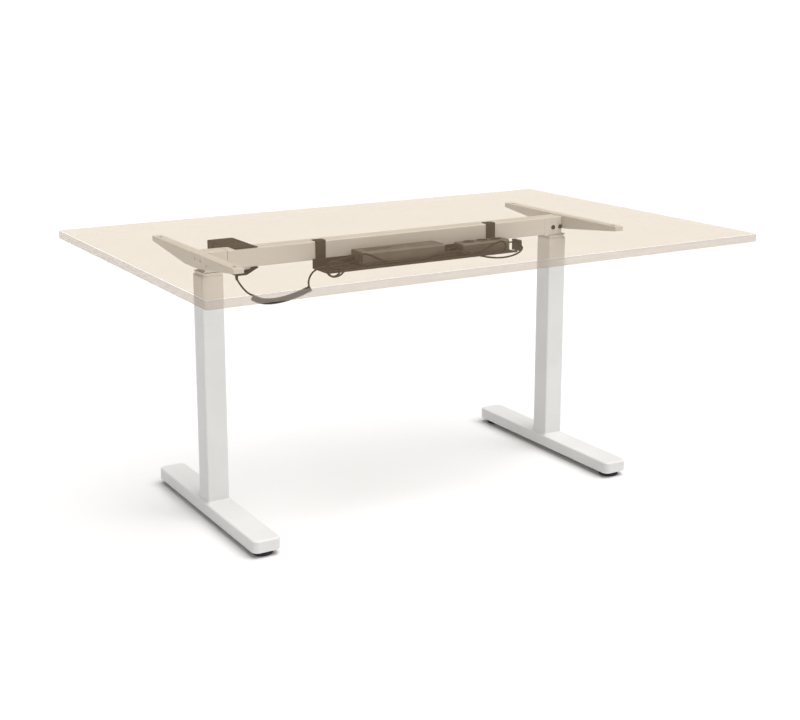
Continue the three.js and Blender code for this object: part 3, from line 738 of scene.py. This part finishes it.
# ---- column heads and support arms ----
def make_head(side, sign):
    """The hollow casting that joins the inner tube, the crossbeam and the support arm."""
    node = f"{side}_head"
    low, high = local_box(node)
    x0, x1 = sorted((sign * HEAD_INNER, sign * HEAD_OUTER))
    collar = sorted((sign * (COLUMN_X - 28.5), sign * (COLUMN_X + 28.5)))
    tab = sorted((sign * (COLUMN_X - 28.5), sign * (COLUMN_X + 22.5)))
    wall = 3.5
    shape = bmesh.new()
    rounded_block(shape, (x0, -25, low.z + 6), (x1, 25, high.z), 2.0)
    rounded_block(shape, (x0 + wall, -25 + wall, 664.2), (x1 - wall, 25 - wall, high.z - wall),
    1.0, 2, True)
    rounded_block(shape, (collar[0], low.y, 659.4), (collar[1], 25, 663.4), 1.2)
    rounded_block(shape, (tab[0], low.y, low.z), (tab[1], low.y + 1.6, 664), 0.5, 2)
    even_normals(add_piece(f"{node}_casting", to_mesh(f"{node}_casting", shape, 20, False), "top_frame",
                           "frame_paint", (node,)))
    for i, x in enumerate(BOLT_PLACES, start=1):
        bolt = f"{side}_head_bolt_{i}"
        screw(f"{bolt}_cap", (sign * x, -25.3, BOLT_Z), (0, -1, 0), 6.5, 3, "top_frame", "black_plastic",
              (bolt,))


def make_arm(side, sign):
    """A folded channel under the tabletop, deep at the column and thin at both tips."""
    node = f"{side}_arm"
    low, high = local_box(node)
    xi, xo = sign * ARM_INNER, sign * ARM_OUTER
    top, deep, shallow, flat = high.z, low.z, ARM_SHALLOW, ARM_FLAT
    y0, y1 = low.y, high.y

    def wall(x):
        return [(x, y0, top), (x, y0, shallow), (x, -flat, deep), (x, flat, deep), (x, y1, shallow),
                (x, y1, top)]

    web = [(xi, y0, top), (xo, y0, top), (xo, y1, top), (xi, y1, top)]
    front = [(xi, y0, top), (xi, y0, shallow), (xo, y0, shallow), (xo, y0, top)]
    back = [(xi, y1, top), (xi, y1, shallow), (xo, y1, shallow), (xo, y1, top)]
    holes = []
    for y in (-240, 240):
        slot_shape = [((xi + xo) / 2 + u, y + v, top) for u, v in rounded_rectangle(7, 20, 3.49, 5)]
        holes.append((2, slot_shape))
    holes.append((1, [(xo, -105 + u, 696 + v) for u, v in rounded_rectangle(16, 6, 2.99, 5)]))
    sheet_piece(f"{node}_channel", [wall(xi), wall(xo), web, front, back], 2.5, "top_frame", "frame_paint",
                (node,), holes)
    for i, y in enumerate((-64, -30), start=1):
        screw(f"{node}_side_screw_{i}", (xo, y, 702), (sign, 0, 0), 4, 1.6, "top_frame", "steel")


# ---- motor cover ----
def make_cover():
    """The folded housing over the motor: a notched plate on the beam and a chamfered trough below it."""
    low, high = local_box("motor_cover")
    left, right, top, bottom = low.x, high.x, high.z, low.z
    left_side, right_side = 655.0, 662.0
    floor_left, floor_right = left + 9, right - 34
    front, plate_front, behind, back = low.y, -25.0, 25.5, high.y
    notch_x, notch_y = left + 10, 21.0
    panels = [
        [(left, back, top), (left, behind, top), (left, notch_y, top), (notch_x, notch_y, top),
         (notch_x, plate_front, top), (right, plate_front, top), (right, behind, top), (right, back, top)],
        [(left, back, top), (left, behind, top), (left, behind, left_side), (left, back, left_side)],
        [(right, back, top), (right, behind, top), (right, behind, right_side), (right, back, right_side)],
        [(left, back, left_side), (left, behind, left_side), (left, front, left_side),
         (floor_left, front, bottom), (floor_left, back, bottom)],
        [(right, back, right_side), (right, behind, right_side), (right, front, right_side),
         (floor_right, front, bottom), (floor_right, back, bottom)],
        [(floor_left, front, bottom), (floor_right, front, bottom), (floor_right, back, bottom),
         (floor_left, back, bottom)],
        [(left, back, top), (left, back, left_side), (floor_left, back, bottom),
         (floor_right, back, bottom),
         (right, back, right_side), (right, back, top)],
    ]
    sheet_piece("motor_cover_sheet", panels, 1.6, "top_frame", "dark_sheet", ("motor_cover",))
    dome = bmesh.new()
    turn = Vector((-1, 0, 0)).to_track_quat("Z", "X").to_matrix().to_4x4()
    seat = Matrix.Translation(at(left + 0.2, 96, 688)) @ turn
    loops = ((17, 0.0), (16.6, 0.9), (15, 2.0), (11, 3.2), (6, 3.9), (1, 4.2))
    skin(dome, [[seat @ (Vector((u, v, h)) * MM) for u, v in circle(radius, 36)] for radius, h in loops])
    add_piece("motor_cover_dome", to_mesh("motor_cover_dome", dome), "top_frame", "dark_sheet")


# ---- cable tray ----
def make_tray():
    """The folded tray with a row of slots in its floor, and the two straps that hang it on the beam."""
    low, high = local_box("cable_tray")
    lip = 649.0
    slots = []
    for x in range(-190, 300, 60):
        slots.append((0, [(x + u, -46 + v, low.z) for u, v in rounded_rectangle(26, 6, 2.9, 4)]))
    panels = [
        [(low.x, low.y, low.z), (high.x, low.y, low.z), (high.x, high.y, low.z), (low.x, high.y, low.z)],
        [(low.x, low.y, low.z), (high.x, low.y, low.z), (high.x, low.y, lip), (low.x, low.y, lip)],
        [(low.x, high.y, low.z), (high.x, high.y, low.z), (high.x, high.y, high.z),
         (low.x, high.y, high.z)],
    ]
    sheet_piece("cable_tray_sheet", panels, 1.6, "top_frame", "dark_sheet", ("cable_tray",), slots)
    for side in ("left", "right"):
        low, high = local_box(f"{side}_tray_strap")
        face = low.y
        middle = (low.x + high.x) / 2
        drop = [(low.x, face, low.z), (high.x, face, low.z), (high.x, face, high.z), (low.x, face, high.z)]
        hook = [(low.x, face, high.z), (high.x, face, high.z), (high.x, high.y, high.z),
                (low.x, high.y, high.z)]
        sheet_piece(f"{side}_strap_sheet", [drop, hook], 2.0, "top_frame", "dark_sheet",
                    (f"{side}_tray_strap",))
        seat = (middle, face - 0.1, STRAP_SCREW_Z)
        screw(f"{side}_strap_screw_head", seat, (0, -1, 0), 4.5, 2.2, "top_frame", "steel",
              (f"{side}_strap_screw",), BLACK_PLASTIC)


def crisp(shape, width, least_angle=0.2):
    """Rounds a shape's corners by a small width."""
    edges = [edge for edge in shape.edges if edge.calc_face_angle(0) > least_angle]
    bmesh.ops.bevel(shape, geom=edges, offset=width * MM, segments=2, profile=0.5, affect="EDGES")


def make_control_box():
    """The electronics box: a chamfered lid, a shadow gap, and a tray-shaped base."""
    low, high = local_box("control_box")
    middle = ((low.y + high.y) / 2, (low.z + high.z) / 2)
    depth, height = high.y - low.y, high.z - low.z
    shape = bmesh.new()
    lid = [(-depth / 2, -height / 2 + 9.4), (depth / 2, -height / 2 + 9.4), (depth / 2, height / 2 - 2),
           (depth / 2 - 2, height / 2), (-depth / 2 + 5, height / 2), (-depth / 2, height / 2 - 5)]
    base = [(-depth / 2 + 1.2, -height / 2), (depth / 2 - 1.2, -height / 2),
            (depth / 2 - 0.4, -height / 2 + 2),
            (depth / 2 - 0.4, -height / 2 + 8.6), (-depth / 2 + 0.4, -height / 2 + 8.6),
            (-depth / 2 + 0.4, -height / 2 + 2)]
    core = [(-depth / 2 + 3, -height / 2 + 7), (depth / 2 - 3, -height / 2 + 7),
            (depth / 2 - 3, -height / 2 + 11), (-depth / 2 + 3, -height / 2 + 11)]
    for outline, inset in ((lid, 0.0), (base, 0.6), (core, 3.0)):
        skin(shape, [along("x", outline, x, middle) for x in (low.x + inset, high.x - inset)])
    crisp(shape, 0.6)
    even_normals(add_piece("control_box_body", to_mesh("control_box_body", shape, 20), "top_frame",
                           "box_plastic", ("control_box",)))
    # The vent slots are not cut. Each is a thin near-black block on the lid, painted shade standing in for
    # the dark inside of a slot.
    slots = bmesh.new()
    for i in range(12):
        x = low.x + 24 + i * 7
        rounded_block(slots, (x, low.y + 22, high.z - 0.6), (x + 3, high.y - 16, high.z + 0.15), 0.3, 2)
    add_piece("control_box_slots", to_mesh("control_box_slots", slots, 20), "top_frame", "black_plastic",
              material=PAINTED_HOLE_SHADE)


def make_power_strip():
    """The power strip: a chamfered body with three raised socket rims on top."""
    low, high = local_box("power_strip")
    middle = ((low.y + high.y) / 2, (low.z + high.z) / 2)
    depth, height = high.y - low.y, high.z - low.z
    outline = [(-depth / 2, -height / 2), (depth / 2, -height / 2), (depth / 2, height / 2 - 4),
               (depth / 2 - 4, height / 2), (-depth / 2 + 4, height / 2), (-depth / 2, height / 2 - 4)]
    shape = bmesh.new()
    ends = ((low.x, 0.86), (low.x + 2.5, 1.0), (high.x - 2.5, 1.0), (high.x, 0.86))
    skin(shape, [along("x", [(u * scale, v * scale) for u, v in outline], x, middle) for x, scale in ends])
    crisp(shape, 0.6)
    even_normals(add_piece("power_strip_body", to_mesh("power_strip_body", shape, 20), "top_frame",
                           "box_plastic", ("power_strip",)))
    rims = bmesh.new()
    # The socket wells are not recessed. Each is a near-black disc inside its rim, painted shade standing in
    # for the dark inside of the socket.
    wells = bmesh.new()
    for x in SOCKET_PLACES:
        centre = (x, middle[0])
        loops = [(18.5, -0.5), (18.5, 1.4), (18.0, 1.8), (17.0, 1.8), (16.5, 1.4), (16.5, -0.5)]
        rim = [level(circle(radius, 40), high.z + rise, centre) for radius, rise in loops]
        skin(rims, rim, joined=True)
        skin(wells, [level(circle(16.6, 40), high.z + rise, centre) for rise in (-0.4, 0.12)])
    even_normals(add_piece("power_strip_rims", to_mesh("power_strip_rims", rims),
    "top_frame", "box_plastic"))
    add_piece("power_strip_wells", to_mesh("power_strip_wells", wells), "top_frame", "black_plastic",
              material=PAINTED_HOLE_SHADE)


make_tabletop()
for side, sign in (("left", -1), ("right", 1)):
    make_foot(side)
    make_glide(side, "front")
    make_glide(side, "back")
    make_tube(f"{side}_outer_tube", f"{side}_column_outer", f"{side}_base", 4)
    make_tube(f"{side}_inner_tube", f"{side}_column_inner", "top_frame", 3)
    make_weld(side)
    make_head(side, sign)
    make_arm(side, sign)
make_cover()
make_tray()
make_control_box()
make_power_strip()


# ---- floor and light ----
def make_stage():
    """A plain pale floor out to the horizon, a pale glow where it ends, and soft light from above."""
    shape = bmesh.new()
    reach = 1000
    corners = [(-reach, -reach, 0), (reach, -reach, 0), (reach, reach, 0), (-reach, reach, 0)]
    shape.faces.new([shape.verts.new(corner) for corner in corners])
    mesh = bpy.data.meshes.new("floor")
    shape.to_mesh(mesh)
    shape.free()
    floor = bpy.data.objects.new("floor", mesh)
    mesh.materials.append(finish("pale_floor", ((0.775, 0.775, 0.775), (0.785, 0.785, 0.785)), (2, 30, 200),
                                 (0.8, 0.95), 0.0001, specular=0.1))
    bpy.context.scene.collection.objects.link(floor)
    world = bpy.data.worlds.new("studio")
    world.use_nodes = True
    world.node_tree.nodes["Background"].inputs["Color"].default_value = (1, 1, 1, 1)
    sky_nodes = world.node_tree.nodes
    links = world.node_tree.links
    direction = sky_nodes.new("ShaderNodeTexCoord")
    split = sky_nodes.new("ShaderNodeSeparateXYZ")
    height = sky_nodes.new("ShaderNodeMapRange")
    height.inputs["From Max"].default_value = 0.04
    height.inputs["To Min"].default_value = 1.1
    height.inputs["To Max"].default_value = 0.52
    links.new(direction.outputs["Generated"], split.inputs["Vector"])
    links.new(split.outputs["Z"], height.inputs["Value"])
    links.new(height.outputs["Result"], sky_nodes["Background"].inputs["Strength"])
    bpy.context.scene.world = world
    data = bpy.data.lights.new("soft_sun", "SUN")
    data.energy = 3.1
    data.angle = math.radians(60)
    sun = bpy.data.objects.new("soft_sun", data)
    sun.rotation_euler = Vector((0.25, -0.30, 0.92)).to_track_quat("Z", "Y").to_euler()
    bpy.context.scene.collection.objects.link(sun)
    bpy.context.scene.view_settings.view_transform = "Standard"


make_stage()
